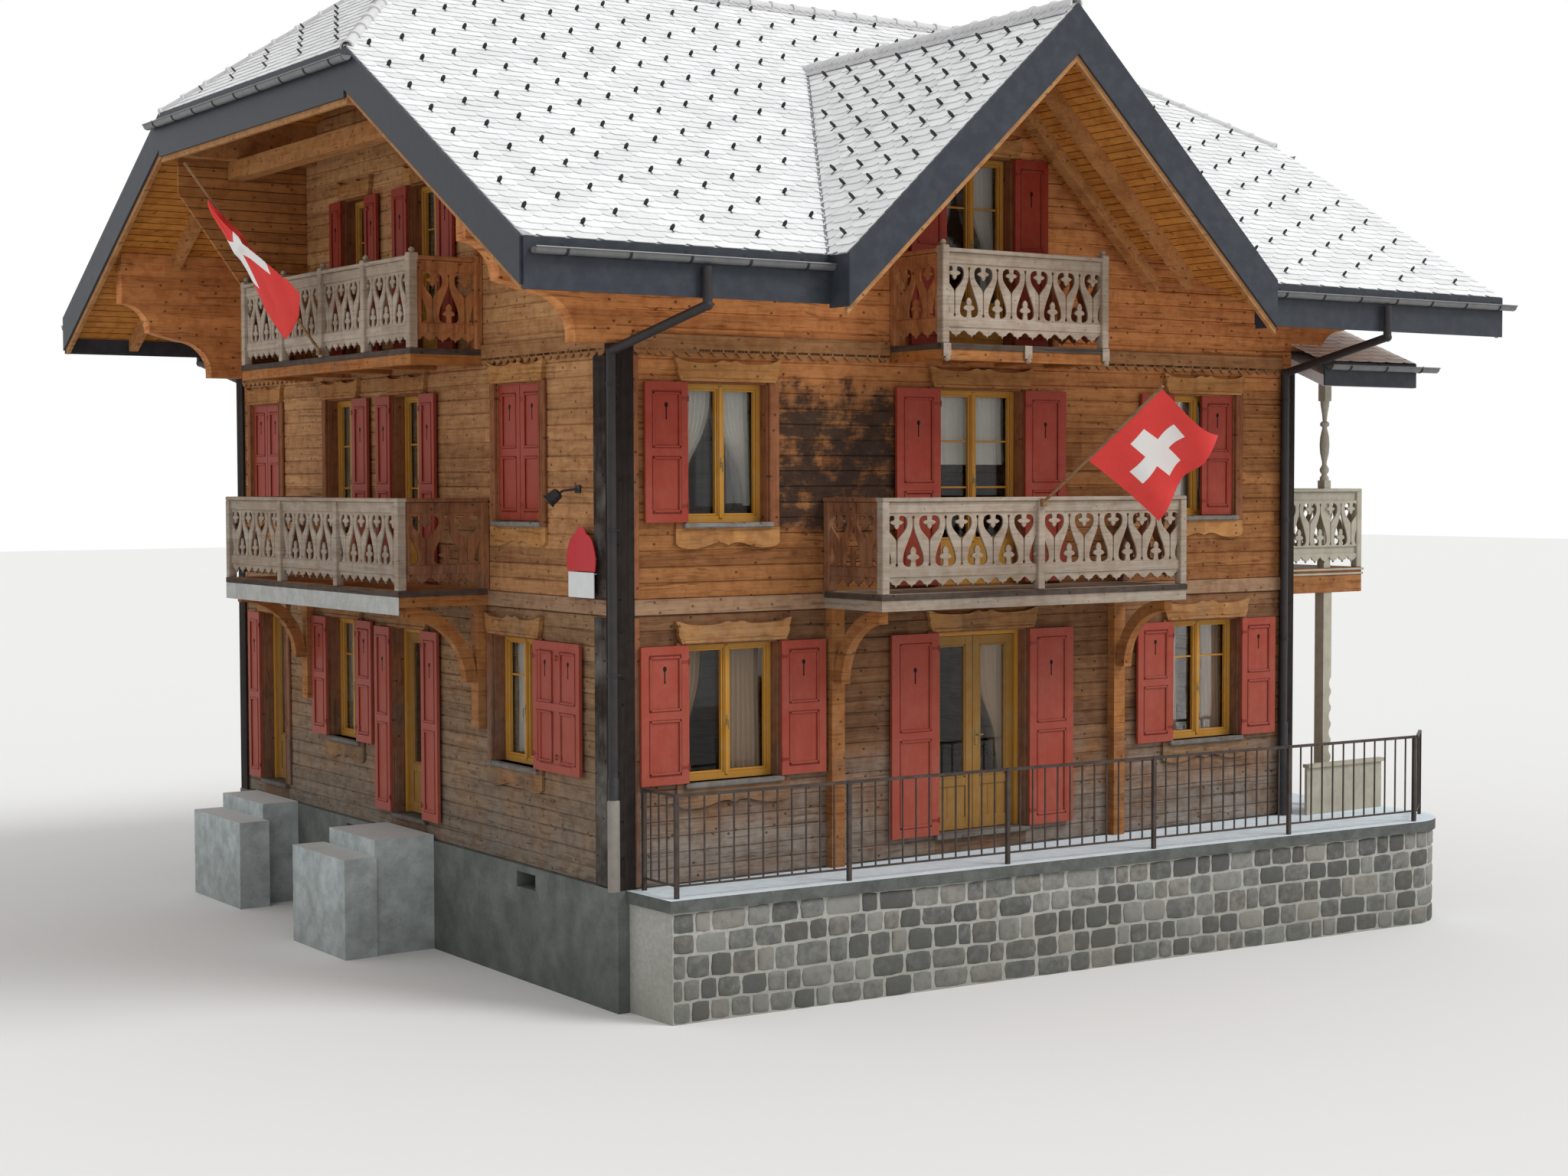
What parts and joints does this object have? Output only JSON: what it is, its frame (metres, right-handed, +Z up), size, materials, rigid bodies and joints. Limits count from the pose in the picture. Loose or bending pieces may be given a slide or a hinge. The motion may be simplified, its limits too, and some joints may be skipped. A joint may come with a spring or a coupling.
{
  "type": "alpine chalet",
  "caption": "Log chalet on a rendered stone plinth with a half-hipped shingle roof, a front gable, sawn-board balconies, red shutters and doors that open.",
  "frame": {"origin": "underside of the plinth, under the near left corner of the log walls", "axes": "+X along the front towards the right, +Y from the front into the house, +Z up"},
  "size_m": [13.8133, 13.9603, 11.1023],
  "materials": {
    "render": "matte",
    "stone": "rough",
    "paving": "rough",
    "iron": "satin",
    "floor_wood": "matte",
    "logs": "matte",
    "dark_wood": "matte",
    "shingles": "satin",
    "soffit_wood": "satin",
    "edge_metal": "satin",
    "zinc": "satin",
    "pale_wood": "matte",
    "cream_wood": "matte",
    "ochre_wood": "satin",
    "glass": "clear",
    "red_wood": "satin",
    "pole_wood": "matte",
    "flag_cloth": "woven"
  },
  "bodies": {
    "house": {"foundation": "render", "terrace_wall": "stone", "terrace_paving": "paving", "terrace_railing": "iron", "side_steps": "render", "ground_floor": "floor_wood", "upper_floors": "floor_wood", "front_wall_ground": "logs", "left_wall_ground": "logs", "back_wall_ground": "logs", "right_wall_ground": "logs", "doorway_timbers": "logs", "front_wall_upper": "logs", "left_wall_upper": "logs", "back_wall_upper": "logs", "right_wall_upper": "logs", "corner_boards": "dark_wood", "log_ends": "logs", "roof_front_left": "shingles", "roof_front_right": "shingles", "roof_back": "shingles", "hip_roofs": "shingles", "front_gable_roof": "shingles", "roof_soffit": "soffit_wood", "edge_boards": "edge_metal", "gutters": "zinc", "downpipes": "zinc", "ridge_caps": "shingles", "roof_timbers": "soffit_wood", "windscreen": "dark_wood", "balcony_brackets": "pale_wood", "front_balcony_deck": "pale_wood", "front_balcony_railing": "pale_wood", "gable_balcony_deck": "pale_wood", "gable_balcony_railing": "pale_wood", "left_balcony_deck": "pale_wood", "left_balcony_railing": "pale_wood", "attic_balcony_deck": "pale_wood", "attic_balcony_railing": "pale_wood", "porch_deck": "pale_wood", "porch_posts": "pale_wood", "porch_railing": "pale_wood", "porch_roof": "shingles", "porch_parapet": "cream_wood", "window_frames": "ochre_wood", "window_glass": "glass", "window_surrounds": "dark_wood", "window_shutters": "red_wood", "door_frames": "ochre_wood", "flag_poles": "pole_wood", "flags": "flag_cloth"},
    "front_door_left_leaf": {"front_door_left": "ochre_wood"},
    "front_door_right_leaf": {"front_door_right": "ochre_wood"},
    "side_door_leaf": {"side_door": "ochre_wood"},
    "back_side_door_leaf": {"back_side_door": "ochre_wood"}
  },
  "joints": [
    {"name": "front_door_left_hinge", "type": "hinge", "parent": "house", "child": "front_door_left_leaf", "pos_m": [3.968, 0.214, 1.48], "axis": [0, 0, 1], "range_deg": [0, 100]},
    {"name": "front_door_right_hinge", "type": "hinge", "parent": "house", "child": "front_door_right_leaf", "pos_m": [5.092, 0.214, 1.48], "axis": [0, 0, 1], "range_deg": [-100, 0]},
    {"name": "side_door_hinge", "type": "hinge", "parent": "house", "child": "side_door_leaf", "pos_m": [0.214, 4.932, 1.48], "axis": [0, 0, 1], "range_deg": [0, 100]},
    {"name": "back_side_door_hinge", "type": "hinge", "parent": "house", "child": "back_side_door_leaf", "pos_m": [0.214, 8.752, 1.48], "axis": [0, 0, 1], "range_deg": [0, 100]}
  ]
}
